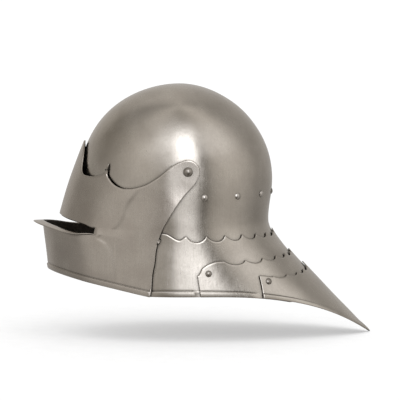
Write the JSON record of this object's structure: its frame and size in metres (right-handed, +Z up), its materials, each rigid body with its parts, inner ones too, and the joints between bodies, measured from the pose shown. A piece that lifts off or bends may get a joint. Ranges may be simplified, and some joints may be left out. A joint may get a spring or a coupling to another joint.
{
  "type": "helmet",
  "caption": "Steel sallet helmet: rounded skull, pivoting visor with an eye slot and projecting lip, and an overlapping, hinged neck guard with scalloped edges and a long pointed tail.",
  "frame": {"origin": "middle of the head opening, level with the lower rim at the cheeks", "axes": "+X from the face to the tail, +Y from the wearer's left to the right, +Z up to the crown"},
  "size_m": [0.4544, 0.2206, 0.3355],
  "materials": {
    "plate_steel": "satin polished mild steel, fine brushing, faint mottling",
    "pivot_steel": "dull hammered steel",
    "rivet_steel": "polished steel",
    "dull_steel": "unpolished steel",
    "strap_leather": "waxed brown leather",
    "lining_cloth": "quilted linen canvas",
    "lace": "twisted linen cord",
    "brass": "aged brass"
  },
  "bodies": {
    "skull_body": {"skull": "plate_steel", "visor_pivot_rivets": "pivot_steel", "visor_pivot_washers": "dull_steel", "lining_rivets": "rivet_steel", "lining_rivet_washers": "dull_steel", "lining_band": "strap_leather", "liner_cap": "lining_cloth", "liner_lace": "lace", "chin_strap_left": "strap_leather", "chin_strap_right": "strap_leather", "strap_rivets": "dull_steel", "strap_washers": "dull_steel", "buckle_frame": "brass", "strap_keeper": "strap_leather"},
    "visor_body": {"visor": "plate_steel"},
    "lame_1_body": {"lame_1": "plate_steel", "lame_1_rivets": "pivot_steel", "lame_1_washers": "dull_steel"},
    "lame_2_body": {"lame_2": "plate_steel", "lame_2_rivets": "pivot_steel", "lame_2_washers": "dull_steel"},
    "tail_body": {"tail_plate": "plate_steel", "tail_rivets": "pivot_steel", "tail_washers": "dull_steel"},
    "tongue_body": {"buckle_tongue": "brass"}
  },
  "joints": [
    {"name": "visor_hinge", "type": "hinge", "parent": "skull_body", "child": "visor_body", "pos_m": [0.0099, 0, 0.165], "axis": [0, 1, 0], "range_deg": [0, 65]},
    {"name": "lame_1_hinge", "type": "hinge", "parent": "skull_body", "child": "lame_1_body", "pos_m": [-0.03806, 0, 0.06997], "axis": [0, -1, 0], "range_deg": [0, 4]},
    {"name": "lame_2_hinge", "type": "hinge", "parent": "lame_1_body", "child": "lame_2_body", "pos_m": [0.03652, 0, 0.03044], "axis": [0, -1, 0], "range_deg": [0, 6]},
    {"name": "tail_hinge", "type": "hinge", "parent": "lame_2_body", "child": "tail_body", "pos_m": [0.11541, 0, 0.01738], "axis": [0, -1, 0], "range_deg": [0, 6]},
    {"name": "buckle_tongue_hinge", "type": "hinge", "parent": "skull_body", "child": "tongue_body", "pos_m": [-0.03614, 0.022, 0.012], "axis": [1, 0, 0], "range_deg": [0, 45]}
  ]
}
